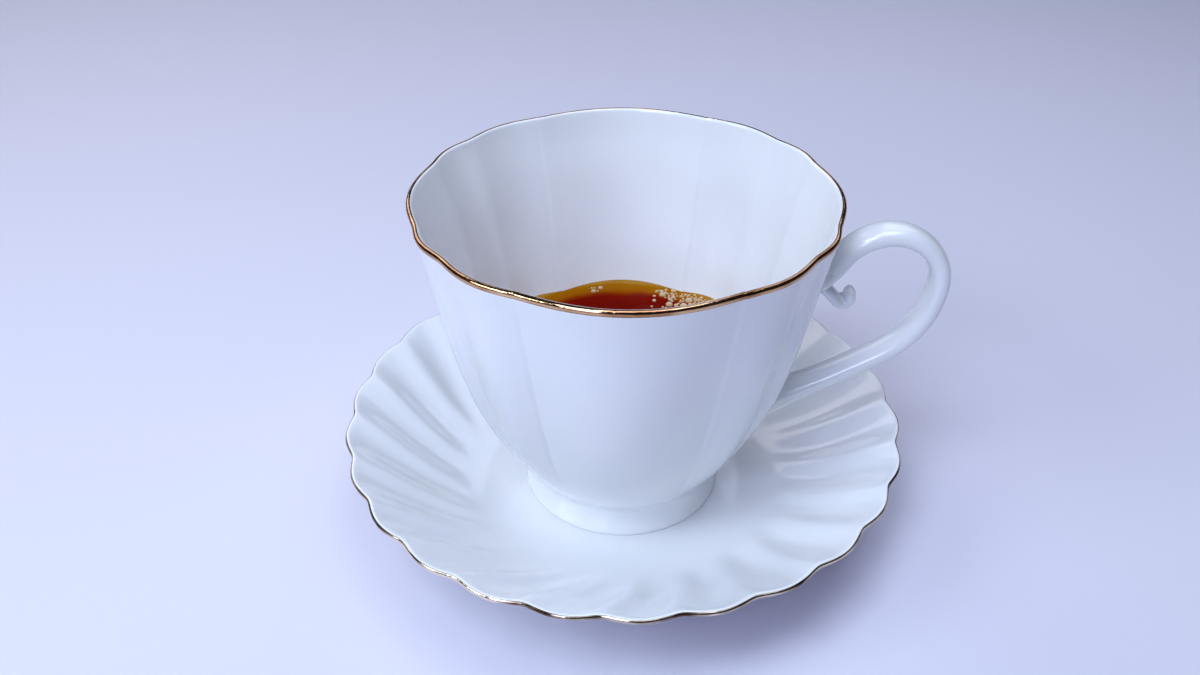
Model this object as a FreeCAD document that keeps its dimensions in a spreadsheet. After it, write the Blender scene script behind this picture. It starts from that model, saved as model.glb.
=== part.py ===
# A fluted porcelain teacup part filled with black tea, standing on its scalloped saucer.
# Millimetres, +Z up. The origin is the centre of the saucer's foot, on the table;
# the cup's handle points along +X.

import FreeCAD, Part
import math
import os

from FreeCAD import Vector

DRIVING_SIZES = [
    # saucer
    ("saucer_radius", 69.2, "axis to the middle of the scalloped edge"),
    ("saucer_height", 26.5, "table to the edge"),
    ("saucer_foot_radius", 38.0, "outside of the foot ring"),
    ("saucer_foot_width", 3.2, "ring's width on the table"),
    ("saucer_foot_height", 2.2, "table to the underside of the well"),
    ("saucer_thickness", 3.0, "wall in the well"),
    ("saucer_edge_thickness", 1.3, "wall at the edge"),
    ("well_radius", 30.0, "flat part that the cup stands on"),
    ("sweep_radius", 46.0, "where the rise out of the well is aimed"),
    ("flare_radius", 57.5, "where the flare towards the edge starts from"),
    ("flare_drop", 8.6, "edge to the height that the flare starts from"),
    ("scallop_count", 26, "scallops round the edge"),
    ("scallop_depth", 1.25, "crest to crease along the radius"),
    ("flute_sink", 0.9, "how far the flutes' middles dip below the ridges between them"),
    ("scallop_inner_radius", 41.0, "where the flutes have faded out"),
    ("scallop_bearing", -4.6, "bearing of one crest, degrees"),
    ("swirl_turn", 10.0, "turn of a flute from edge to inner end, degrees"),
    # cup
    ("rim_radius", 49.1, "axis to the middle of the fluted lip, outside"),
    ("cup_height", 82.6, "foot to lip"),
    ("bowl_base_radius", 20.5, "flat underside inside the foot ring"),
    ("bowl_base_height", 3.8, "foot to that underside"),
    ("belly_radius", 42.2, "lower point that the wall's curve is pulled to"),
    ("belly_height", 25.3, "height of that point above the foot"),
    ("shoulder_radius", 43.6, "upper point that the wall's curve is pulled to"),
    ("shoulder_height", 60.9, "height of that point above the foot"),
    ("cup_wall", 2.3, "wall, square to its surface"),
    ("lip_thickness", 1.5, "wall at the lip"),
    ("cup_floor", 2.6, "floor of the cup"),
    ("floor_flat_radius", 11.0, "flat middle of the floor inside"),
    ("flute_depth", 0.85, "crest to crease at the lip"),
    ("flute_start", 9.0, "height above the foot where the flutes begin"),
    ("flute_fade", 30.0, "height over which they grow to full depth"),
    ("foot_radius", 25.6, "outside of the cup's foot ring where it stands"),
    ("foot_neck_radius", 21.6, "foot ring's cone, up where it ends in the wall"),
    ("foot_inner_radius", 21.8, "inside of the foot ring"),
    ("foot_cone_height", 9.5, "foot to the top of that cone"),
    # handle
    ("loop_out", 12.8, "lip to the top of the handle's loop, outwards"),
    ("loop_drop", 10.7, "lip to the middle of the strap at the loop's top, downwards"),
    ("loop_radius", 12.75, "bend of the loop's top"),
    ("bow_radius", 24.1, "bend of its lower outside"),
    ("bow_turn", 58.4, "degrees"),
    ("tail_radius", 226.0, "nearly straight run back to the bowl"),
    ("tail_length", 48.0, "its length, into the wall"),
    ("fall_turn", 58.0, "turn of the loop before it falls to the wall, degrees"),
    ("fall_length", 2.5, "its straight fall"),
    ("root_radius", 6.0, "bend that takes it into the wall"),
    ("root_turn", 45.0, "degrees"),
    ("root_length", 4.0, "straight run into the wall"),
    ("strap_width", 8.0, "strap across"),
    ("strap_thickness", 4.9, "strap through"),
    ("scroll_drop", 20.8, "lip to where the scroll leaves the wall, downwards"),
    ("scroll_slope", 47.0, "its fall from the level, degrees"),
    ("scroll_arm", 10.5, "its straight arm, out of the wall"),
    ("scroll_radius", 1.75, "its curl"),
    ("scroll_turn", 190.0, "degrees"),
    ("scroll_width", 5.4, "scroll across"),
    ("scroll_thickness", 2.9, "scroll through"),
    # tea
    ("tea_level", 36.3, "foot to the surface of the tea"),
    ("tea_clearance", 0.15, "between the tea and the wall"),
]

# The cup's twelve lobes from the front round by the handle and back: how many degrees wide
# each is, and how strongly it stands out.
LOBES = [(56, 1.3), (25, 0.95), (19, 0.9), (36, 0.9), (19, 0.9), (25, 0.95)] * 2
FRONT = -90.0
MEAN_CREST = 0.63
DEGREES_PER_POINT = 3.2
POINTS_PER_SCALLOP = 6

# Shares of the cup's curve, foot to lip: where the inside corner of the floor ends, where the
# wall starts to thin and where the rounded lip begins. The saucer's edge has the last two too.
CORNER_SHARE = 0.14
THINNING_SHARE = 0.75
LIP_SHARE = 0.985


def make_sheet(doc):
    """The spreadsheet of driving sizes; every other number is worked out from it."""
    sheet = doc.addObject("Spreadsheet::Sheet", "sizes")
    for row, (alias, value, note) in enumerate(DRIVING_SIZES, start=1):
        sheet.set(f"A{row}", alias)
        sheet.set(f"B{row}", str(value))
        sheet.set(f"C{row}", note)
        sheet.setAlias(f"B{row}", alias)
    doc.recompute()
    return sheet


def smooth_step(share):
    share = min(max(share, 0.0), 1.0)
    return share * share * (3.0 - 2.0 * share)


def bezier(points, share):
    """Point and direction on a cubic curve through (radius, height) control points."""
    (a, b, c, d), rest = points, 1.0 - share
    weights = (rest**3, 3 * rest**2 * share, 3 * rest * share**2, share**3)
    place = [sum(w * p[k] for w, p in zip(weights, (a, b, c, d))) for k in (0, 1)]
    slopes = (rest**2, 2 * rest * share, share**2)
    legs = [[q[k] - p[k] for k in (0, 1)] for p, q in ((a, b), (b, c), (c, d))]
    along = [3 * sum(w * leg[k] for w, leg in zip(slopes, legs)) for k in (0, 1)]
    length = math.hypot(*along)
    return place, (along[0] / length, along[1] / length)


def skin(rings):
    """One smooth closed surface through rings of points, with a flat face at each end."""
    around = [k / len(rings[0]) for k in range(len(rings[0]) + 1)]
    loops = []
    for ring in rings:
        loop = Part.BSplineCurve()
        loop.interpolate(Points=ring, PeriodicFlag=True, Parameters=around)
        loops.append(loop)
    poles = [loop.getPoles() for loop in loops]
    gaps = [
        sum(p.distanceToPoint(q) for p, q in zip(one, two)) / len(one)
        for one, two in zip(poles, poles[1:])
    ]
    along = [sum(gaps[:k]) / sum(gaps) for k in range(len(rings))]
    columns = []
    for column in zip(*poles):
        line = Part.BSplineCurve()
        line.interpolate(Points=list(column), Parameters=along)
        columns.append(line)
    surface = Part.BSplineSurface()
    surface.buildFromPolesMultsKnots(
        [line.getPoles() for line in columns],
        loops[0].getMultiplicities(),
        columns[0].getMultiplicities(),
        loops[0].getKnots(),
        columns[0].getKnots(),
        True,
        False,
        3,
        3,
    )
    side = surface.toShape()
    ends = [edge for edge in side.Edges if edge.isClosed() and not edge.isSeam(side.Faces[0])]
    caps = [Part.Face(Part.Wire([edge])) for edge in ends]
    shell = Part.Shell([side.Faces[0]] + caps)
    shell.sewShape()
    solid = Part.Solid(shell)
    if solid.Volume < 0:
        solid.reverse()
    return solid


def feature(doc, name, shape):
    """A document object that holds a shape made by Part's own functions."""
    thing = doc.addObject("Part::Feature", name)
    thing.Shape = shape
    thing.Placement = FreeCAD.Placement()
    return thing


def lobe_bearings():
    """Bearings round the cup, each with how far it is from the middle towards a crest."""
    bearings = []
    start = FRONT - LOBES[0][0] / 2
    for width, strength in LOBES:
        count = round(width / DEGREES_PER_POINT)
        for k in range(count):
            swell = strength * (math.sin(math.pi * k / count) - MEAN_CREST)
            bearings.append((math.radians(start + width * k / count), swell))
        start += width
    return bearings


def cup_ring(sheet, radius, height):
    """A level ring of the cup: the height is above the foot, the flutes grow with it."""
    growth = smooth_step((height - sheet.flute_start) / sheet.flute_fade)
    depth = sheet.flute_depth * growth
    level = seat_height(sheet) + height
    ring = []
    for bearing, swell in lobe_bearings():
        reach = radius + depth * swell
        ring.append(Vector(reach * math.cos(bearing), reach * math.sin(bearing), level))
    return ring


def wall_curve(sheet):
    """The cup's outside as four (radius, height above the foot) control points."""
    return [
        (sheet.bowl_base_radius, sheet.bowl_base_height),
        (sheet.belly_radius, sheet.belly_height),
        (sheet.shoulder_radius, sheet.shoulder_height),
        (sheet.rim_radius, sheet.cup_height),
    ]


def wall_stations(sheet, inset, count, first=0.0, last=1.0):
    """(radius, height) pairs up the wall, set in square to it by a share of its thickness."""
    stations = []
    for k in range(count):
        share = first + (last - first) * k / (count - 1)
        (radius, height), (out, up) = bezier(wall_curve(sheet), share)
        taper = smooth_step((share - THINNING_SHARE) / (1 - THINNING_SHARE))
        wall = sheet.cup_wall + (sheet.lip_thickness - sheet.cup_wall) * taper
        stations.append((radius - up * wall * inset, height + out * wall * inset))
    return stations


def floor_stations(sheet, wall_start):
    """The floor inside: a flat middle, then a round corner that runs into the wall."""
    (end_radius, end_height), (out, up) = wall_start
    floor = sheet.bowl_base_height + sheet.cup_floor
    knee = (end_radius - (end_height - floor) * out / up, floor)
    start = (sheet.floor_flat_radius, floor)
    stations = [(sheet.floor_flat_radius / 2, floor), start]
    for share in (0.3, 0.6):
        rest = 1 - share
        weights = (rest**2, 2 * rest * share, share**2)
        corner = zip(start, knee, (end_radius, end_height))
        stations.append(tuple(sum(w * v for w, v in zip(weights, values)) for values in corner))
    return stations


def cavity_stations(sheet, count, last):
    """The cup's inside, from the flat of the floor up to a share of the wall's height."""
    wall = wall_stations(sheet, 1.0, count, first=CORNER_SHARE, last=last)
    direction = bezier(wall_curve(sheet), CORNER_SHARE)[1]
    return floor_stations(sheet, (wall[0], direction)) + wall


def share_at_level(sheet, level, inset=1.0):
    """How far up the wall's curve its inside, or its outside, reaches a height above the foot."""
    low, high = CORNER_SHARE, LIP_SHARE
    for _ in range(40):
        middle = (low + high) / 2
        height = wall_stations(sheet, inset, 2, first=middle, last=middle)[0][1]
        low, high = (middle, high) if height < level else (low, middle)
    return low


def lip_stations(inner, outer, count):
    """A half round over the top of the wall, from its inside to its outside."""
    middle = [(a + b) / 2 for a, b in zip(inner, outer)]
    across = [(b - a) / 2 for a, b in zip(inner, outer)]
    stations = []
    for k in range(1, count):
        angle = math.pi * k / count
        side, up = -math.cos(angle), math.sin(angle)
        radius = middle[0] + across[0] * side - across[1] * up
        height = middle[1] + across[1] * side + across[0] * up
        stations.append((radius, height))
    return stations


def seat_height(sheet):
    """Table to the well's floor, which the cup stands on."""
    return sheet.saucer_foot_height + sheet.saucer_thickness


def make_bowl(doc, sheet):
    inside = cavity_stations(sheet, 9, LIP_SHARE)
    outside = wall_stations(sheet, 0.0, 10, last=LIP_SHARE)[::-1]
    stations = inside + lip_stations(inside[-1], outside[0], 4) + outside
    return feature(doc, "bowl", skin([cup_ring(sheet, *station) for station in stations]))


def make_wall_core(doc, sheet):
    """Everything inside the middle of the cup's wall: foot and handle are trimmed to it."""
    stations = wall_stations(sheet, 0.5, 8)
    return feature(doc, "wall_core", skin([cup_ring(sheet, *station) for station in stations]))


def make_cup_foot(doc, core):
    """The flared foot ring, turned as a cone and run up into the wall."""
    cone = doc.addObject("Part::Cone", "foot_cone")
    cone.setExpression("Radius1", "sizes.foot_radius")
    cone.setExpression("Radius2", "sizes.foot_neck_radius")
    cone.setExpression("Height", "sizes.foot_cone_height")
    hollow = doc.addObject("Part::Cylinder", "foot_hollow")
    hollow.setExpression("Radius", "sizes.foot_inner_radius")
    hollow.setExpression("Height", "sizes.foot_cone_height")
    for turned in (cone, hollow):
        seat = "sizes.saucer_foot_height + sizes.saucer_thickness"
        turned.setExpression("Placement.Base.z", seat)
    return cut(doc, "foot", cut(doc, "foot_ring", cone, hollow), core)


def cut(doc, name, base, tool):
    thing = doc.addObject("Part::Cut", name)
    thing.Base = base
    thing.Tool = tool
    return thing


def arc_run(point, heading, radius, turn, count):
    """Points along an arc; a positive turn is to the left. Headings in degrees."""
    side = math.copysign(1.0, turn)
    normal = math.radians(heading + 90 * side)
    centre = (point[0] + radius * math.cos(normal), point[1] + radius * math.sin(normal))
    run = []
    for k in range(1, count + 1):
        now = heading + turn * k / count
        back = math.radians(now - 90 * side)
        run.append((centre[0] + radius * math.cos(back), centre[1] + radius * math.sin(back), now))
    return run


def straight_run(point, heading, length, count):
    along = math.radians(heading)
    steps = [length * k / count for k in range(1, count + 1)]
    return [(point[0] + s * math.cos(along), point[1] + s * math.sin(along), heading) for s in steps]


def strap_line(sheet):
    """The strap's middle line as (reach, height, heading), from its lower root to its upper."""
    reach = sheet.rim_radius + sheet.loop_out
    top = (reach, seat_height(sheet) + sheet.cup_height - sheet.loop_drop, 0.0)
    down = [top] + arc_run(top, top[2], sheet.loop_radius, -90.0, 8)
    down += arc_run(down[-1], down[-1][2], sheet.bow_radius, -sheet.bow_turn, 6)
    tail_turn = math.degrees(sheet.tail_length / sheet.tail_radius)
    down += arc_run(down[-1], down[-1][2], sheet.tail_radius, -tail_turn, 6)
    line = [(x, z, heading + 180.0) for x, z, heading in down[::-1]]
    line += arc_run(top, 180.0, sheet.loop_radius, sheet.fall_turn, 6)
    line += straight_run(line[-1], line[-1][2], sheet.fall_length, 1)
    line += arc_run(line[-1], line[-1][2], sheet.root_radius, -sheet.root_turn, 4)
    return line + straight_run(line[-1], line[-1][2], sheet.root_length, 2)


def scroll_line(sheet):
    """The scroll's middle line, out of the wall under the strap and round its curl."""
    leaves = sheet.cup_height - sheet.scroll_drop
    share = share_at_level(sheet, leaves, inset=0.0)
    (reach, height), _ = bezier(wall_curve(sheet), share)
    start = (reach - sheet.cup_wall / 2, seat_height(sheet) + height, -sheet.scroll_slope)
    line = [start] + straight_run(start, start[2], sheet.scroll_arm, 6)
    return line + arc_run(line[-1], line[-1][2], sheet.scroll_radius, sheet.scroll_turn, 9)


def oval_ring(reach, height, heading, thickness, width):
    """An oval ring square to a middle line."""
    across = math.radians(heading + 90)
    ring = []
    for k in range(16):
        angle = 2 * math.pi * k / 16
        offset = thickness / 2 * math.cos(angle)
        x = reach + offset * math.cos(across)
        z = height + offset * math.sin(across)
        ring.append(Vector(x, width / 2 * math.sin(angle), z))
    return ring


def make_handle(doc, sheet, core):
    """The strap and, under its upper root, the scroll; both end inside the cup's wall."""
    strap = [
        oval_ring(*place, sheet.strap_thickness, sheet.strap_width) for place in strap_line(sheet)
    ]
    line = scroll_line(sheet)
    scroll = []
    for k, place in enumerate(line):
        to_the_end = min(1.0, (len(line) - 1 - k) / 2)
        rounding = 0.35 + 0.65 * math.sqrt(1 - (1 - to_the_end) ** 2)
        thickness, width = sheet.scroll_thickness * rounding, sheet.scroll_width * rounding
        scroll.append(oval_ring(*place, thickness, width))
    return [
        cut(doc, "handle_strap", feature(doc, "strap", skin(strap)), core),
        cut(doc, "handle_scroll", feature(doc, "scroll", skin(scroll)), core),
    ]


def make_cup(doc, sheet):
    """Bowl, foot ring and handle are fired as one piece of porcelain."""
    bowl = make_bowl(doc, sheet)
    core = make_wall_core(doc, sheet)
    cup = doc.addObject("Part::MultiFuse", "cup")
    cup.Shapes = [bowl, make_cup_foot(doc, core)] + make_handle(doc, sheet, core)
    cup.Label = "cup"
    return cup


def make_tea(doc, sheet):
    """The tea fills the cup's inside up to its level, clear of the wall by a hair."""
    stations = cavity_stations(sheet, 5, share_at_level(sheet, sheet.tea_level))
    rings = [cup_ring(sheet, r - sheet.tea_clearance, level) for r, level in stations]
    tea = feature(doc, "tea", skin(rings))
    tea.Label = "tea"
    return tea


def saucer_curve(sheet):
    """The saucer's upper side as four (radius, height) control points."""
    return [
        (sheet.well_radius, seat_height(sheet)),
        (sheet.sweep_radius, seat_height(sheet)),
        (sheet.flare_radius, sheet.saucer_height - sheet.flare_drop),
        (sheet.saucer_radius, sheet.saucer_height),
    ]


def saucer_stations(sheet, inset, count, last=1.0):
    """(radius, height) pairs up the saucer, set under its upper side by a share of the wall."""
    stations = []
    for k in range(count):
        share = last * k / (count - 1)
        (radius, height), (out, up) = bezier(saucer_curve(sheet), share)
        taper = smooth_step((share - THINNING_SHARE) / (1 - THINNING_SHARE))
        wall = sheet.saucer_thickness + (sheet.saucer_edge_thickness - sheet.saucer_thickness) * taper
        stations.append((radius + up * wall * inset, height - out * wall * inset))
    return stations


def saucer_ring(sheet, radius, height):
    """A ring of the saucer: scallops in plan at the edge, dished flutes that swirl inwards."""
    run = sheet.saucer_radius - sheet.scallop_inner_radius
    growth = min(max((radius - sheet.scallop_inner_radius) / run, 0.0), 1.0)
    reach_out = sheet.scallop_depth * smooth_step(growth)
    dip = sheet.flute_sink * 4 * growth * (1 - growth)
    turn = sheet.swirl_turn * (1 - growth) ** 1.5
    count = int(sheet.scallop_count) * POINTS_PER_SCALLOP
    ring = []
    for k in range(count):
        crest = abs(math.cos(math.pi * k / POINTS_PER_SCALLOP)) - MEAN_CREST
        bearing = math.radians(sheet.scallop_bearing + turn + 360.0 * k / count)
        reach = radius + reach_out * crest
        ring.append(Vector(reach * math.cos(bearing), reach * math.sin(bearing), height - dip * crest))
    return ring


def make_saucer(doc, sheet):
    upper = saucer_stations(sheet, 0.0, 9, last=LIP_SHARE)
    under = saucer_stations(sheet, 1.0, 9, last=LIP_SHARE)[::-1]
    stations = upper + lip_stations(upper[-1], under[0], 4) + under
    plate = feature(doc, "plate", skin([saucer_ring(sheet, *station) for station in stations]))
    ring = doc.addObject("Part::Cylinder", "saucer_foot_disc")
    ring.setExpression("Radius", "sizes.saucer_foot_radius")
    hollow = doc.addObject("Part::Cylinder", "saucer_foot_hollow")
    hollow.setExpression("Radius", "sizes.saucer_foot_radius - sizes.saucer_foot_width")
    for turned in (ring, hollow):
        turned.setExpression("Height", "sizes.saucer_foot_height + sizes.saucer_thickness / 2")
    saucer = doc.addObject("Part::Fuse", "saucer")
    saucer.Base = plate
    saucer.Tool = cut(doc, "saucer_foot", ring, hollow)
    saucer.Label = "saucer"
    return saucer


def check_and_write(doc, pieces):
    """Refuses a failed object or a broken shape, then writes one STEP file for each piece."""
    doc.recompute()
    for thing in doc.Objects:
        if "Invalid" in thing.State or "Error" in thing.State:
            raise RuntimeError(f"{thing.Name} failed: {thing.State}")
    for piece in pieces:
        shape = piece.Shape
        if shape.isNull() or not shape.isValid() or len(shape.Solids) != 1:
            raise RuntimeError(f"{piece.Label} isn't one valid solid")
        print(piece.Label, f"{shape.Volume / 1000:.1f} cm3", shape.BoundBox)
        shape.exportStep(f"parts/{piece.Label}.step")


def main():
    os.makedirs("parts", exist_ok=True)
    doc = FreeCAD.newDocument("cup_of_tea")
    sheet = make_sheet(doc)
    pieces = [make_saucer(doc, sheet), make_cup(doc, sheet), make_tea(doc, sheet)]
    check_and_write(doc, pieces)


main()
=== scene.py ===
import math
import random

import bmesh
import bpy
import numpy as np
from mathutils import Matrix, Vector


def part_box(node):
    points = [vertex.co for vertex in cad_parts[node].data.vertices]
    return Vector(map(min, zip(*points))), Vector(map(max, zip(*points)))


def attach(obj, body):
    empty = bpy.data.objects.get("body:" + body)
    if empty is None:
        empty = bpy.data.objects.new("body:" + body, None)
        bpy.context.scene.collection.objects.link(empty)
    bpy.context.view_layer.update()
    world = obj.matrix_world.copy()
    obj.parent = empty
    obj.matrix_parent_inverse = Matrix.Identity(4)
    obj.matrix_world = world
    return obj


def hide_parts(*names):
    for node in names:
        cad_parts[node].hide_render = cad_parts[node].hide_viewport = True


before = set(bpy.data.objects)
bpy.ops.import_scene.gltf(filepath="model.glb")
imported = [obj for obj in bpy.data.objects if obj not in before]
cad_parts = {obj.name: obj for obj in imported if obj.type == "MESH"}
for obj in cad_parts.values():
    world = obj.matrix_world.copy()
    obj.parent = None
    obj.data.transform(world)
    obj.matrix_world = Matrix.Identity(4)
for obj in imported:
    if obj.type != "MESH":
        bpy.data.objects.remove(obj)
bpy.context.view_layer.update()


# ---------------------------------------------------------------------------------------------
# The saucer: one piece of white porcelain, pressed in a fluted mould and glazed all over.
# Its flutes are dished, swirl gently and end in a scalloped edge.
# ---------------------------------------------------------------------------------------------
mm = 0.001
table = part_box("saucer")[0].z
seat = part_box("cup")[0].z

SAUCER_RADIUS = 69.2 * mm
SAUCER_HEIGHT = 26.5 * mm
SAUCER_WALL = 3.0 * mm
SAUCER_EDGE = 1.3 * mm
SAUCER_FOOT = 38.0 * mm
SAUCER_FOOT_WIDTH = 3.2 * mm
SAUCER_FOOT_HEIGHT = seat - table - SAUCER_WALL
WELL_RADIUS = 30.0 * mm
SWEEP_RADIUS = 46.0 * mm
FLARE_RADIUS = 57.5 * mm
FLARE_DROP = 8.6 * mm
SCALLOPS = 26
SCALLOP_DEPTH = 1.25 * mm
FLUTE_SINK = 1.0 * mm
FLUTES_END = 41.0 * mm
EDGE_SOFTNESS = 0.25
INNER_SOFTNESS = 1.2
SCALLOP_BEARING = math.radians(-4.6)
SWIRL = math.radians(10.0)
THINNING_STARTS = 0.75
EDGE_STARTS = 0.985
CENTRE = 3.0 * mm


def smooth_step(share):
    share = np.clip(share, 0.0, 1.0)
    return share * share * (3.0 - 2.0 * share)


def crest_shape(wave, softness):
    """0 in a crease and 1 on a crest, from a sine; a soft crease is round, a hard one sharp."""
    return (np.sqrt(wave**2 + softness**2) - softness) / (np.sqrt(1 + softness**2) - softness)


def cubic(points, shares):
    """Points of a cubic curve and its unit directions."""
    a, b, c, d = (np.array(p, float) for p in points)
    t = np.asarray(shares, float)[:, None]
    place = (1 - t) ** 3 * a + 3 * (1 - t) ** 2 * t * b + 3 * (1 - t) * t**2 * c + t**3 * d
    along = 3 * ((1 - t) ** 2 * (b - a) + 2 * (1 - t) * t * (c - b) + t**2 * (d - c))
    return place, along / np.linalg.norm(along, axis=1)[:, None]


def quadratic(start, knee, end, count):
    """A bend from start to end that is aimed at the knee, without its first point."""
    t = np.linspace(0, 1, count + 1)[1:, None]
    start, knee, end = (np.array(p, float) for p in (start, knee, end))
    return (1 - t) ** 2 * start + 2 * (1 - t) * t * knee + t**2 * end


def straight(start, end, count):
    t = np.linspace(0, 1, count + 1)[1:, None]
    return (1 - t) * np.array(start, float) + t * np.array(end, float)


def half_round(start, end, count):
    """Over the top of a wall, from one of its faces to the other."""
    start, end = np.array(start, float), np.array(end, float)
    middle, across = (start + end) / 2, (end - start) / 2
    turn = np.linspace(0, math.pi, count + 1)[1:-1, None]
    outward = np.array([-across[1], across[0]])
    return middle - across * np.cos(turn) + outward * np.sin(turn)


def mesh_from_rings(name, rings, closed=False):
    """A smooth mesh through rings of points: its two ends are closed by a point each, or the
    last ring is joined to the first."""
    rings = np.asarray(rings, float)
    count, around = rings.shape[0], rings.shape[1]
    verts = rings.reshape(-1, 3)
    rows = np.arange(count if closed else count - 1)
    k = np.arange(around)
    here, there = rows[:, None] * around, ((rows + 1) % count)[:, None] * around
    quads = np.stack([here + k, here + (k + 1) % around, there + (k + 1) % around, there + k], -1)
    faces = quads.reshape(-1, 4).tolist()
    if not closed:
        verts = np.vstack([verts, rings[0].mean(0), rings[-1].mean(0)])
        first, last = len(verts) - 2, len(verts) - 1
        top = (count - 1) * around
        faces += [[first, (i + 1) % around, i] for i in range(around)]
        faces += [[last, top + i, top + (i + 1) % around] for i in range(around)]
    mesh = bpy.data.meshes.new(name)
    mesh.from_pydata(verts.tolist(), [], faces)
    mesh.update()
    mesh.shade_smooth()
    piece = bpy.data.objects.new(name, mesh)
    bpy.context.collection.objects.link(piece)
    face_outward(piece)
    return piece


def face_outward(piece):
    """Turns the faces of a closed mesh outwards."""
    form = bmesh.new()
    form.from_mesh(piece.data)
    if form.calc_volume(signed=True) < 0:
        bmesh.ops.reverse_faces(form, faces=form.faces)
    form.to_mesh(piece.data)
    form.free()


def saucer_rings(profile, points_each=20):
    """Rings of the saucer through (radius, height) pairs: scalloped at the edge, dished within."""
    profile = np.asarray(profile, float)
    growth = np.clip((profile[:, 0] - FLUTES_END) / (SAUCER_RADIUS - FLUTES_END), 0, 1)
    reach_out = SCALLOP_DEPTH * smooth_step(growth)
    dip = FLUTE_SINK * 4 * growth * (1 - growth)
    swirl = SWIRL * (1 - growth) ** 1.5
    softness = EDGE_SOFTNESS + INNER_SOFTNESS * (1 - growth[:, None])
    step = np.arange(SCALLOPS * points_each)
    crest = crest_shape(np.cos(math.pi * step / points_each), softness)
    crest -= crest.mean(1, keepdims=True)
    bearing = SCALLOP_BEARING + swirl[:, None] + 2 * math.pi * step / len(step)
    reach = profile[:, :1] + reach_out[:, None] * crest
    height = table + profile[:, 1:] - dip[:, None] * crest
    return np.stack([reach * np.cos(bearing), reach * np.sin(bearing), height], -1)


saucer_floor = SAUCER_FOOT_HEIGHT + SAUCER_WALL
saucer_side = [
    (WELL_RADIUS, saucer_floor),
    (SWEEP_RADIUS, saucer_floor),
    (FLARE_RADIUS, SAUCER_HEIGHT - FLARE_DROP),
    (SAUCER_RADIUS, SAUCER_HEIGHT),
]
shares = np.linspace(0, EDGE_STARTS, 44)
upper, along = cubic(saucer_side, shares)
thinning = smooth_step((shares - THINNING_STARTS) / (1 - THINNING_STARTS))
wall = SAUCER_WALL + (SAUCER_EDGE - SAUCER_WALL) * thinning
under = upper + np.stack([along[:, 1], -along[:, 0]], -1) * wall[:, None]
saucer_edge = half_round(upper[-1], under[-1], 9)

ring_out, ring_in = SAUCER_FOOT, SAUCER_FOOT - SAUCER_FOOT_WIDTH
recess = SAUCER_FOOT_HEIGHT
under_kept = under[under[:, 0] > ring_out + 2.2 * mm][::-1]
foot_ring = np.vstack([
    quadratic(under_kept[-1], (ring_out + 0.3 * mm, recess + 0.2 * mm), (ring_out, recess * 0.5), 5),
    quadratic((ring_out, recess * 0.5), (ring_out - 0.1 * mm, 0), (ring_out - 0.9 * mm, 0), 5),
    straight((ring_out - 0.9 * mm, 0), (ring_in + 0.8 * mm, 0), 2),
    quadratic((ring_in + 0.8 * mm, 0), (ring_in, 0), (ring_in - 0.1 * mm, recess * 0.5), 5),
    quadratic(
        (ring_in - 0.1 * mm, recess * 0.5), (ring_in - 0.4 * mm, recess), (ring_in - 2.4 * mm, recess), 5
    ),
    straight((ring_in - 2.4 * mm, recess), (CENTRE, recess), 10),
])
well = straight((CENTRE, saucer_floor), upper[0], 9)[:-1]
saucer_profile = np.vstack([[(CENTRE, saucer_floor)], well, upper, saucer_edge, under_kept, foot_ring])
saucer = mesh_from_rings("saucer_body", saucer_rings(saucer_profile))


def new_material(name):
    """A material with its nodes, its links and its shader."""
    material = bpy.data.materials.new(name)
    material.use_nodes = True
    tree = material.node_tree
    return material, tree.nodes, tree.links, tree.nodes["Principled BSDF"]


def porcelain(name):
    """White porcelain under a clear glaze that is very slightly uneven in thickness."""
    material, nodes, links, shader = new_material(name)
    shader.inputs["IOR"].default_value = 1.52
    shader.inputs["Coat Weight"].default_value = 0.6
    shader.inputs["Coat Roughness"].default_value = 0.03
    shader.inputs["Coat IOR"].default_value = 1.5
    shader.inputs["Subsurface Weight"].default_value = 0.12
    shader.inputs["Subsurface Radius"].default_value = (0.6, 0.75, 1.0)
    shader.inputs["Subsurface Scale"].default_value = 1.2 * mm
    place = nodes.new("ShaderNodeTexCoord")
    body_tone = nodes.new("ShaderNodeTexNoise")
    body_tone.inputs["Scale"].default_value = 38.0
    body_tone.inputs["Detail"].default_value = 3.0
    tones = nodes.new("ShaderNodeValToRGB")
    tones.color_ramp.elements[0].position = 0.35
    tones.color_ramp.elements[0].color = (0.845, 0.862, 0.885, 1)
    tones.color_ramp.elements[1].position = 0.65
    tones.color_ramp.elements[1].color = (0.865, 0.878, 0.896, 1)
    glaze = nodes.new("ShaderNodeTexNoise")
    glaze.inputs["Scale"].default_value = 210.0
    glaze.inputs["Detail"].default_value = 1.5
    sheen = nodes.new("ShaderNodeMapRange")
    sheen.inputs["To Min"].default_value = 0.16
    sheen.inputs["To Max"].default_value = 0.24
    waviness = nodes.new("ShaderNodeBump")
    waviness.inputs["Strength"].default_value = 0.06
    waviness.inputs["Distance"].default_value = 0.05 * mm
    links.new(place.outputs["Object"], body_tone.inputs["Vector"])
    links.new(place.outputs["Object"], glaze.inputs["Vector"])
    links.new(body_tone.outputs["Fac"], tones.inputs["Fac"])
    links.new(tones.outputs["Color"], shader.inputs["Base Color"])
    links.new(glaze.outputs["Fac"], sheen.inputs["Value"])
    links.new(sheen.outputs["Result"], shader.inputs["Roughness"])
    links.new(glaze.outputs["Fac"], waviness.inputs["Height"])
    links.new(waviness.outputs["Normal"], shader.inputs["Normal"])
    return material


saucer.data.materials.append(porcelain("saucer_glazed_porcelain"))
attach(saucer, "root")
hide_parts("saucer")


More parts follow.
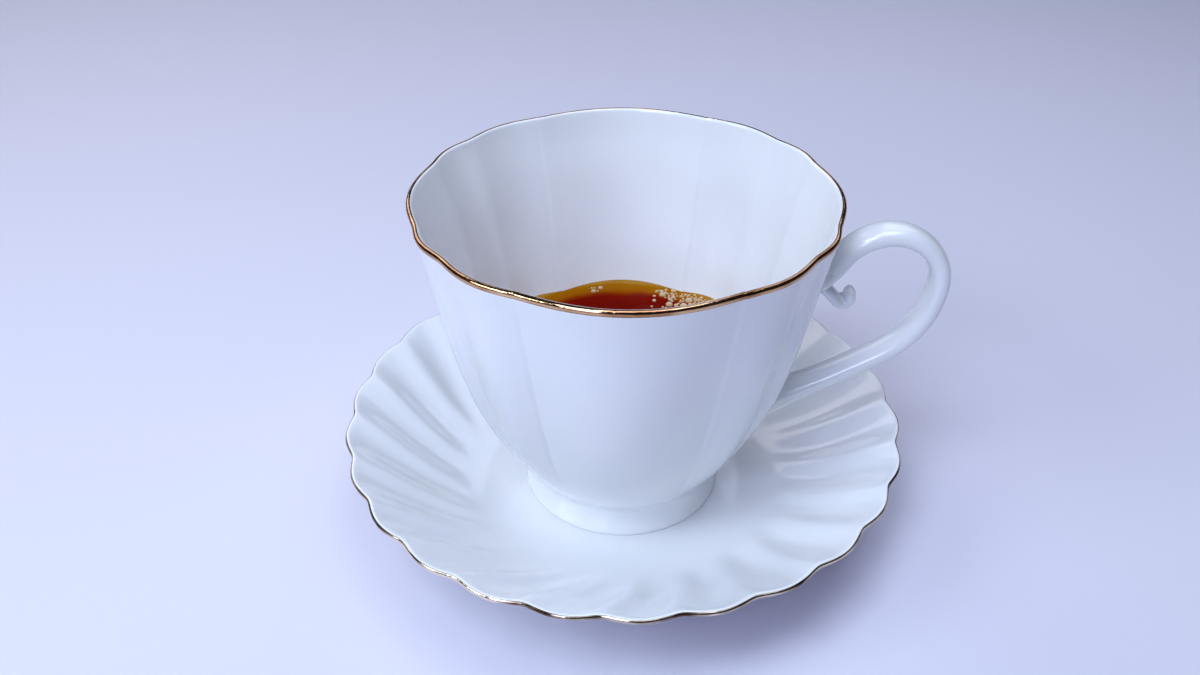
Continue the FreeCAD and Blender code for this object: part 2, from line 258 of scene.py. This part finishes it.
# ---------------------------------------------------------------------------------------------
# The saucer's gold line: bright gold painted over the glaze on the rounded edge with a brush
# and fired on. It is a film, so it stands hardly proud of the porcelain.
# ---------------------------------------------------------------------------------------------
GOLD_PROUD = 0.04 * mm
GOLD_SUNK = 0.12 * mm


def gold_band(name, section, make_rings):
    """A closed band over a stretch of profile, a hair outside it and reaching just into it."""
    section = np.asarray(section, float)
    along = np.gradient(section, axis=0)
    along /= np.linalg.norm(along, axis=1)[:, None]
    outward = np.stack([-along[:, 1], along[:, 0]], -1)
    taper = np.minimum(1, np.minimum(np.arange(len(section)), np.arange(len(section))[::-1]) / 2)
    outer = section + outward * (GOLD_PROUD * taper)[:, None]
    inner = (section - outward * GOLD_SUNK)[::-1]
    return mesh_from_rings(name, make_rings(np.vstack([outer, inner])), closed=True)


def gold(name, dark_gold_and_reflection, bright):
    """Bright gold, burnished over an edge that isn't quite even either; noise mottles its colour between
    a dark and a light tone, which on the saucer's edge are painted dark reflections and painted glints,
    and on the cup milder tones of the gold.
    """
    material, nodes, links, shader = new_material(name)
    shader.inputs["Metallic"].default_value = 1.0
    place = nodes.new("ShaderNodeTexCoord")
    # This noise sets the gold's colour: on the saucer's edge its dark and light patches are painted dark
    # reflections and painted glints.
    depth = nodes.new("ShaderNodeTexNoise")
    depth.inputs["Scale"].default_value = 90.0
    depth.inputs["Detail"].default_value = 4.0
    tones = nodes.new("ShaderNodeValToRGB")
    tones.color_ramp.elements[0].position = 0.38
    tones.color_ramp.elements[0].color = (*dark_gold_and_reflection, 1)
    tones.color_ramp.elements[1].position = 0.62
    tones.color_ramp.elements[1].color = (*bright, 1)
    rub = nodes.new("ShaderNodeMapRange")
    rub.inputs["To Min"].default_value = 0.06
    rub.inputs["To Max"].default_value = 0.16
    links.new(place.outputs["Object"], depth.inputs["Vector"])
    links.new(depth.outputs["Fac"], tones.inputs["Fac"])
    links.new(tones.outputs["Color"], shader.inputs["Base Color"])
    links.new(depth.outputs["Fac"], rub.inputs["Value"])
    links.new(rub.outputs["Result"], shader.inputs["Roughness"])
    unevenness = nodes.new("ShaderNodeBump")
    unevenness.inputs["Strength"].default_value = 0.7
    unevenness.inputs["Distance"].default_value = 0.9 * mm
    links.new(depth.outputs["Fac"], unevenness.inputs["Height"])
    links.new(unevenness.outputs["Normal"], shader.inputs["Normal"])
    return material


saucer_line = np.vstack([saucer_edge[2:], under[-1:]])
saucer_gilding = gold_band("saucer_gilding", saucer_line, saucer_rings)
# Nearly black and nearly white gold: painted dark reflections and painted glints along the edge.
saucer_gilding.data.materials.append(gold("saucer_gold_painted_glints", (0.12, 0.07, 0.045), (1.0, 0.84, 0.66)))
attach(saucer_gilding, "root")


# ---------------------------------------------------------------------------------------------
# The cup: bowl, foot ring and handle in one piece of porcelain. The bowl is cast thin in a
# mould with twelve lobes of unequal width, broad at front and back, that show inside and out;
# the foot is turned, and the strap handle, with its small scroll, is stuck on before firing.
# ---------------------------------------------------------------------------------------------
RIM_RADIUS = 49.1 * mm
CUP_HEIGHT = 82.6 * mm
CUP_WALL = 2.3 * mm
LIP_WALL = 1.5 * mm
CUP_FLOOR = 6.4 * mm
FLOOR_FLAT = 11.0 * mm
FLUTE_DEPTH = 0.85 * mm
FLUTE_SWELL = 0.85 * mm
FLUTES_START = 9.0 * mm
FLUTES_FADE = 30.0 * mm
LOBES = [(56, 1.3), (25, 0.95), (19, 0.9), (36, 0.9), (19, 0.9), (25, 0.95)] * 2
LOBE_MIDDLE = 0.55
LOBE_SOFTNESS = 0.45
SWELL_EASES_OVER = 0.4 * CUP_HEIGHT
FRONT = -90.0
WALL_STARTS = 0.06
INSIDE_STARTS = 0.14
LIP_STARTS = 0.985
cup_side = [
    (20.5 * mm, 3.8 * mm),
    (42.2 * mm, 25.3 * mm),
    (43.6 * mm, 60.9 * mm),
    (RIM_RADIUS, CUP_HEIGHT),
]

lobe_bearings, lobe_crests = [], []
lobe_start = FRONT - LOBES[0][0] / 2
for width, strength in LOBES:
    lobe_shares = np.arange(round(width * 4 / 3)) / round(width * 4 / 3)
    lobe_bearings.append(np.radians(lobe_start + width * lobe_shares))
    swell = crest_shape(np.sin(math.pi * lobe_shares), LOBE_SOFTNESS) - LOBE_MIDDLE
    lobe_crests.append(strength * swell)
    lobe_start += width
lobe_bearings, lobe_crests = np.concatenate(lobe_bearings), np.concatenate(lobe_crests)


def cup_rings(profile):
    """Rings of the cup through (radius, height above its foot) pairs: the flutes grow as they
    rise, are deepest halfway up and ease off towards the lip."""
    profile = np.asarray(profile, float)
    rise = smooth_step((profile[:, 1] - FLUTES_START) / FLUTES_FADE)
    ease = smooth_step((CUP_HEIGHT - profile[:, 1]) / SWELL_EASES_OVER)
    depth = (FLUTE_DEPTH + FLUTE_SWELL * ease) * rise
    reach = profile[:, :1] + depth[:, None] * lobe_crests
    height = np.broadcast_to(seat + profile[:, 1:], reach.shape)
    return np.stack([reach * np.cos(lobe_bearings), reach * np.sin(lobe_bearings), height], -1)


shares = np.linspace(WALL_STARTS, LIP_STARTS, 56)
outside, along = cubic(cup_side, shares)
thinning = smooth_step((shares - THINNING_STARTS) / (1 - THINNING_STARTS))
wall = CUP_WALL + (LIP_WALL - CUP_WALL) * thinning
inside = outside + np.stack([-along[:, 1], along[:, 0]], -1) * wall[:, None]
inside = inside[shares > INSIDE_STARTS]
inside_slope = along[shares > INSIDE_STARTS][0]
floor_knee = inside[0][0] - (inside[0][1] - CUP_FLOOR) * inside_slope[0] / inside_slope[1]
floor_bend = quadratic((FLOOR_FLAT, CUP_FLOOR), (floor_knee, CUP_FLOOR), inside[0], 10)[:-1]
cup_lip = half_round(inside[-1], outside[-1], 9)
neck, flare = (22.9 * mm, 5.0 * mm), (25.1 * mm, 1.3 * mm)
cup_foot = np.vstack([
    quadratic(outside[0], neck, flare, 9),
    quadratic(flare, (25.6 * mm, 0.1 * mm), (25.0 * mm, 0), 4),
    straight((25.0 * mm, 0), (22.6 * mm, 0), 2),
    quadratic((22.6 * mm, 0), (21.9 * mm, 0), (21.7 * mm, 1.4 * mm), 4),
    quadratic((21.7 * mm, 1.4 * mm), (21.3 * mm, 3.8 * mm), (18.5 * mm, 3.8 * mm), 6),
    straight((18.5 * mm, 3.8 * mm), (2.0 * mm, 3.8 * mm), 6),
])
floor_flat = straight((2.0 * mm, CUP_FLOOR), (FLOOR_FLAT, CUP_FLOOR), 4)
cup_profile = np.vstack([
    [(2.0 * mm, CUP_FLOOR)], floor_flat, floor_bend, inside, cup_lip, outside[::-1], cup_foot,
])
cup = mesh_from_rings("cup_body", cup_rings(cup_profile))

STRAP_WIDTH, STRAP_THICKNESS = 8.0 * mm, 4.9 * mm
SCROLL_WIDTH, SCROLL_THICKNESS = 5.4 * mm, 2.9 * mm
ROOT_SPREAD = 0.3
ROUNDNESS = 2.4
LOOP_TOP = (RIM_RADIUS + 12.8 * mm, CUP_HEIGHT - 10.7 * mm)
ROUND_THE_BOW = [(12.75 * mm, -90.0, 24), (24.1 * mm, -58.4, 20), (226.0 * mm, -12.2, 16)]
TO_THE_WALL = [
    (12.75 * mm, 58.0, 16), (None, 2.5 * mm, 3), (6.0 * mm, -45.0, 10), (None, 4.0 * mm, 4),
]
SCROLL_LEAVES = CUP_HEIGHT - 20.8 * mm
SCROLL_SLOPE = math.radians(-47.0)
THE_CURL = [(None, 10.5 * mm, 14), (1.75 * mm, 190.0, 24)]


def strap_run(start, heading, legs):
    """Points and headings along arcs (radius, turn in degrees) and straights (None, length)."""
    point, run = np.array(start, float), []
    for radius, amount, count in legs:
        for k in range(count):
            if radius is None:
                turned = heading
                point = point + amount / count * np.array([math.cos(heading), math.sin(heading)])
            else:
                turned = heading + math.radians(amount) / count
                middle = (heading + turned) / 2
                chord = 2 * radius * abs(math.sin((turned - heading) / 2))
                point = point + chord * np.array([math.cos(middle), math.sin(middle)])
            heading = turned
            run.append((point[0], point[1], heading))
    return run


def oval_rings(line, thickness, width):
    """Rounded oblong rings square to a line of points and headings."""
    turn = np.linspace(0, 2 * math.pi, 40, endpoint=False)
    oblong = (np.abs(np.cos(turn)) ** ROUNDNESS + np.abs(np.sin(turn)) ** ROUNDNESS) ** (-1 / ROUNDNESS)
    rings = []
    for (x, z, heading), thick, wide in zip(line, thickness, width):
        through, across = thick / 2 * oblong * np.cos(turn), wide / 2 * oblong * np.sin(turn)
        rings.append(np.stack([
            x - through * math.sin(heading), across, seat + z + through * math.cos(heading),
        ], -1))
    return rings


bow = [(x, z, heading + math.pi) for x, z, heading in strap_run(LOOP_TOP, 0.0, ROUND_THE_BOW)[::-1]]
strap_line = bow + [(*LOOP_TOP, math.pi)] + strap_run(LOOP_TOP, math.pi, TO_THE_WALL)
from_an_end = np.minimum(np.arange(len(strap_line)), np.arange(len(strap_line))[::-1])
spread = 1 + ROOT_SPREAD * (1 - smooth_step((from_an_end - 4) / 7))
handle = mesh_from_rings(
    "cup_handle", oval_rings(strap_line, STRAP_THICKNESS * spread, STRAP_WIDTH * spread)
)

scroll_root = np.interp(SCROLL_LEAVES, outside[:, 1], outside[:, 0]) - CUP_WALL / 2
scroll_line = strap_run((scroll_root, SCROLL_LEAVES), SCROLL_SLOPE, THE_CURL)
to_the_tip = np.arange(len(scroll_line))[::-1]
rounding = 0.25 + 0.75 * np.sqrt(1 - (1 - np.minimum(1, to_the_tip / 5)) ** 2)
scroll = mesh_from_rings(
    "cup_scroll", oval_rings(scroll_line, SCROLL_THICKNESS * rounding, SCROLL_WIDTH * rounding)
)

# The handle's root is let into the wall and stops inside its thickness.
inner_wall = np.vstack([[(0.5 * mm, CUP_FLOOR)], floor_bend, inside, [(RIM_RADIUS, 120 * mm)]])
wall_middle = inner_wall + np.array([0.9 * mm, -0.9 * mm])
core = mesh_from_rings("core", cup_rings(np.vstack([wall_middle, [(0.5 * mm, 120 * mm)]])))


def join_solids(piece, other, how):
    """Unites a piece with another closed mesh, or takes the other away from it."""
    step = piece.modifiers.new(how, "BOOLEAN")
    step.operation = how
    step.object = other
    step.solver = "EXACT"
    made = bpy.data.meshes.new_from_object(
        piece.evaluated_get(bpy.context.evaluated_depsgraph_get())
    )
    piece.modifiers.clear()
    piece.data = made
    bpy.data.objects.remove(other)


join_solids(handle, scroll, "UNION")
join_solids(handle, core, "DIFFERENCE")
join_solids(cup, handle, "UNION")
cup.data.shade_smooth()
cup.data.materials.clear()
cup.data.materials.append(porcelain("cup_glazed_porcelain"))
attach(cup, "root")
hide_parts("cup")


# ---------------------------------------------------------------------------------------------
# The cup's gold line: the same bright gold, brushed along the crown of the rounded lip and
# half a millimetre down its outside.
# ---------------------------------------------------------------------------------------------
GOLD_BELOW_LIP = 0.45 * mm
cup_line = np.vstack([cup_lip[2:], outside[-1:], outside[-1:] - along[-1:] * GOLD_BELOW_LIP])
cup_gilding = gold_band("cup_gilding", cup_line, cup_rings)
cup_gilding.data.materials.append(gold("cup_bright_gold", (0.40, 0.19, 0.09), (0.80, 0.50, 0.28)))
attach(cup_gilding, "root")


# ---------------------------------------------------------------------------------------------
# The tea: a clear dark liquid up to its level, amber where the wall shows through the shallow
# edge and deep red-brown over the bowl. It climbs the glaze a little, and still moves gently.
# ---------------------------------------------------------------------------------------------
tea_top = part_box("tea")[1].z
tea_level = tea_top - seat
INTO_THE_WALL = 0.5 * mm
MENISCUS = 0.45 * mm
RIPPLE = 0.16 * mm
RIPPLE_LENGTH = 6.5 * mm
RIPPLES_FADE = 22.0 * mm
MENISCUS_REACH = 1.1 * mm
POURED_AT = np.array([8.0, 16.0]) * mm

wall_reach = np.interp(tea_level, inside[:, 1], inside[:, 0])
surface_radii = np.concatenate([
    np.linspace(1 * mm, wall_reach - 4 * mm, 40),
    np.linspace(wall_reach - 3.6 * mm, wall_reach + INTO_THE_WALL, 14),
])
up_the_wall = MENISCUS * np.exp(-(wall_reach - np.minimum(surface_radii, wall_reach)) / MENISCUS_REACH)
surface = np.stack([surface_radii, tea_level - MENISCUS * 0.6 + up_the_wall], -1)
below = inside[inside[:, 1] < tea_level - 1 * mm][::-1] + np.array([INTO_THE_WALL, -0.2 * mm])
below_bend = floor_bend[::-1] + np.array([INTO_THE_WALL * 0.5, -INTO_THE_WALL])
tea_floor = straight((FLOOR_FLAT, CUP_FLOOR - INTO_THE_WALL), (1 * mm, CUP_FLOOR - INTO_THE_WALL), 3)
tea_rings = cup_rings(np.vstack([surface, below, below_bend, tea_floor]))
on_top = tea_rings[: len(surface)]
apart = np.hypot(on_top[..., 0] - POURED_AT[0], on_top[..., 1] - POURED_AT[1])
calm = np.exp(-apart / RIPPLES_FADE) * smooth_step((wall_reach - surface_radii) / (6 * mm))[:, None]
on_top[..., 2] += RIPPLE * calm * np.cos(2 * math.pi * apart / RIPPLE_LENGTH)
tea = mesh_from_rings("tea_liquid", tea_rings)

depth_below = tea.data.attributes.new("from_the_wall", "FLOAT", "POINT")
tea_points = np.array([v.co[:] for v in tea.data.vertices])
from_the_wall = np.clip((wall_reach - np.hypot(tea_points[:, 0], tea_points[:, 1])) / wall_reach, 0, 1)
depth_below.data.foreach_set("value", from_the_wall)


def tea_look(name):
    """Tea seen from above: its colour deepens from the wall inwards as the liquid gets deeper."""
    material, nodes, links, shader = new_material(name)
    # Lower than real tea's 1.33, so that the room barely shows on its surface.
    shader.inputs["IOR"].default_value = 1.05
    shader.inputs["Roughness"].default_value = 0.03
    place = nodes.new("ShaderNodeTexCoord")
    shallows = nodes.new("ShaderNodeAttribute")
    shallows.attribute_name = "from_the_wall"
    drift = nodes.new("ShaderNodeTexNoise")
    drift.inputs["Scale"].default_value = 120.0
    drift.inputs["Detail"].default_value = 2.0
    shift = nodes.new("ShaderNodeMapRange")
    shift.inputs["To Min"].default_value = -0.035
    shift.inputs["To Max"].default_value = 0.035
    depth = nodes.new("ShaderNodeMath")
    tones = nodes.new("ShaderNodeValToRGB")
    ramp = tones.color_ramp
    ramp.elements[0].position = 0.0
    ramp.elements[0].color = (0.40, 0.20, 0.03, 1)
    ramp.elements[1].position = 0.42
    ramp.elements[1].color = (0.12, 0.002, 0.0002, 1)
    for position, colour in (
        (0.03, (0.33, 0.12, 0.002, 1)),
        (0.10, (0.30, 0.09, 0.001, 1)),
        (0.14, (0.23, 0.03, 0.0005, 1)),
        (0.18, (0.17, 0.004, 0.0003, 1)),
    ):
        ramp.elements.new(position).color = colour
    links.new(place.outputs["Object"], drift.inputs["Vector"])
    links.new(drift.outputs["Fac"], shift.inputs["Value"])
    links.new(shallows.outputs["Fac"], depth.inputs[0])
    links.new(shift.outputs["Result"], depth.inputs[1])
    links.new(depth.outputs["Value"], tones.inputs["Fac"])
    links.new(tones.outputs["Color"], shader.inputs["Base Color"])
    return material


tea.data.materials.append(tea_look("black_tea"))
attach(tea, "root")
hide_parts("tea")


# ---------------------------------------------------------------------------------------------
# The bubbles: thin domes of tea left floating where it was poured in, in two loose clusters.
# ---------------------------------------------------------------------------------------------
random.seed(7)
BUBBLE_SIZES = (0.3, 0.35, 0.45, 0.6, 1.0)
BUBBLE_CLUSTERS = [((20.0, 30.0), 3.4, 110), ((-6.5, 33.0), 1.0, 5)]
BUBBLE_TRIES = 1500
BUBBLE_SUNK = 0.25 * mm
BUBBLE_OVERLAP = 0.93
BUBBLE_SQUASH = 0.75
bubble_places = []
for (middle_x, middle_y), spread, count in BUBBLE_CLUSTERS:
    for _ in range(BUBBLE_TRIES):
        x, y = random.gauss(middle_x, spread), random.gauss(middle_y, spread)
        radius = random.choice(BUBBLE_SIZES) * random.uniform(0.85, 1.15)
        room = all(math.hypot(x - a, y - b) > BUBBLE_OVERLAP * (radius + r) for a, b, r in bubble_places)
        if room and math.hypot(x, y) < wall_reach / mm - radius and count > 0:
            bubble_places.append((x, y, radius))
            count -= 1
bubbles_form = bmesh.new()
for x, y, radius in bubble_places:
    lifted = Matrix.Translation((x * mm, y * mm, tea_top - BUBBLE_SUNK))
    squash = Matrix.Diagonal((radius * mm, radius * mm, radius * BUBBLE_SQUASH * mm, 1))
    bmesh.ops.create_uvsphere(
        bubbles_form, u_segments=24, v_segments=14, radius=1.0, matrix=lifted @ squash
    )
bubbles_mesh = bpy.data.meshes.new("tea_bubbles")
bubbles_form.to_mesh(bubbles_mesh)
bubbles_form.free()
bubbles_mesh.shade_smooth()
bubbles = bpy.data.objects.new("tea_bubbles", bubbles_mesh)
bpy.context.collection.objects.link(bubbles)


def bubble_film(name):
    """A film of tea: tan where it is seen face on, and paler where it is seen edge on, which is a
    painted sheen of reflected light.
    """
    material, nodes, links, shader = new_material(name)
    shader.inputs["Roughness"].default_value = 0.05
    shader.inputs["IOR"].default_value = 1.33
    # The paler tone at grazing angles is a painted reflection.
    painted_sheen = nodes.new("ShaderNodeLayerWeight")
    painted_sheen.inputs["Blend"].default_value = 0.35
    tones = nodes.new("ShaderNodeValToRGB")
    tones.color_ramp.elements[0].color = (0.52, 0.34, 0.16, 1)
    tones.color_ramp.elements[1].color = (0.76, 0.64, 0.48, 1)
    links.new(painted_sheen.outputs["Facing"], tones.inputs["Fac"])
    links.new(tones.outputs["Color"], shader.inputs["Base Color"])
    return material


bubbles.data.materials.append(bubble_film("tea_film_painted_sheen"))
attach(bubbles, "root")


# ---------------------------------------------------------------------------------------------
# The studio: a plain pale floor, three window lights in front on the left, three
# bounces, and the camera in front of the cup, looking down on it.
# ---------------------------------------------------------------------------------------------
bpy.ops.mesh.primitive_plane_add(size=6.0, location=(0, 0, table))
floor = bpy.context.object
floor.name = "floor"
floor_paint = bpy.data.materials.new("floor_paint")
floor_paint.use_nodes = True
floor_shader = floor_paint.node_tree.nodes["Principled BSDF"]
floor_shader.inputs["Base Color"].default_value = (0.74, 0.72, 0.83, 1)
floor_shader.inputs["Roughness"].default_value = 0.6
floor.data.materials.append(floor_paint)


LIGHTS_AWAY = 0.85
LIGHTS_AIM = 0.04


def soft_light(name, bearing, rise, power, colour, size=0.5):
    """A square soft box at a bearing and a rise in degrees, facing the cup."""
    cup_middle = Vector((0, 0, table + LIGHTS_AIM))
    turn, tilt = math.radians(bearing), math.radians(rise)
    away = Vector((math.cos(tilt) * math.cos(turn), math.cos(tilt) * math.sin(turn), math.sin(tilt)))
    light = bpy.data.lights.new(name, "AREA")
    light.size = size
    light.energy = power
    light.color = colour
    holder = bpy.data.objects.new(name, light)
    holder.location = cup_middle + away * LIGHTS_AWAY
    holder.rotation_euler = (-away).to_track_quat("-Z", "Y").to_euler()
    bpy.context.collection.objects.link(holder)


soft_light("window_left", 205, 35, 2.1, (0.77, 0.92, 1.0), size=0.3)
soft_light("window_high", 235, 60, 2.9, (0.72, 0.82, 1.0), size=0.3)
soft_light("window_low", 245, 33, 2.1, (0.64, 0.70, 1.0), size=0.3)
soft_light("ceiling_bounce", 330, 82, 2.9, (0.72, 0.82, 1.0))
soft_light("wall_bounce_left", 130, 35, 1.2, (0.96, 0.92, 1.0))
soft_light("wall_bounce_back", 60, 45, 1.1, (0.70, 0.76, 1.0))

sky = bpy.data.worlds.new("studio_air")
sky.use_nodes = True
air = sky.node_tree.nodes["Background"]
air.inputs["Color"].default_value = (0.80, 0.86, 1.0, 1)
air.inputs["Strength"].default_value = 0.03
bpy.context.scene.world = sky

CAMERA_PLACE = (-5.8 * mm, -212.9 * mm, table + 195.2 * mm)
LOOKING_DOWN = math.radians(34.67)
LENS = 31.5
lens = bpy.data.cameras.new("camera")
lens.lens = LENS
lens.sensor_width = 36.0
lens.clip_start = 0.01
camera = bpy.data.objects.new("camera", lens)
camera.location = CAMERA_PLACE
camera.rotation_euler = (math.pi / 2 - LOOKING_DOWN, 0, 0)
bpy.context.collection.objects.link(camera)
bpy.context.scene.camera = camera
bpy.context.scene.view_settings.view_transform = "Standard"
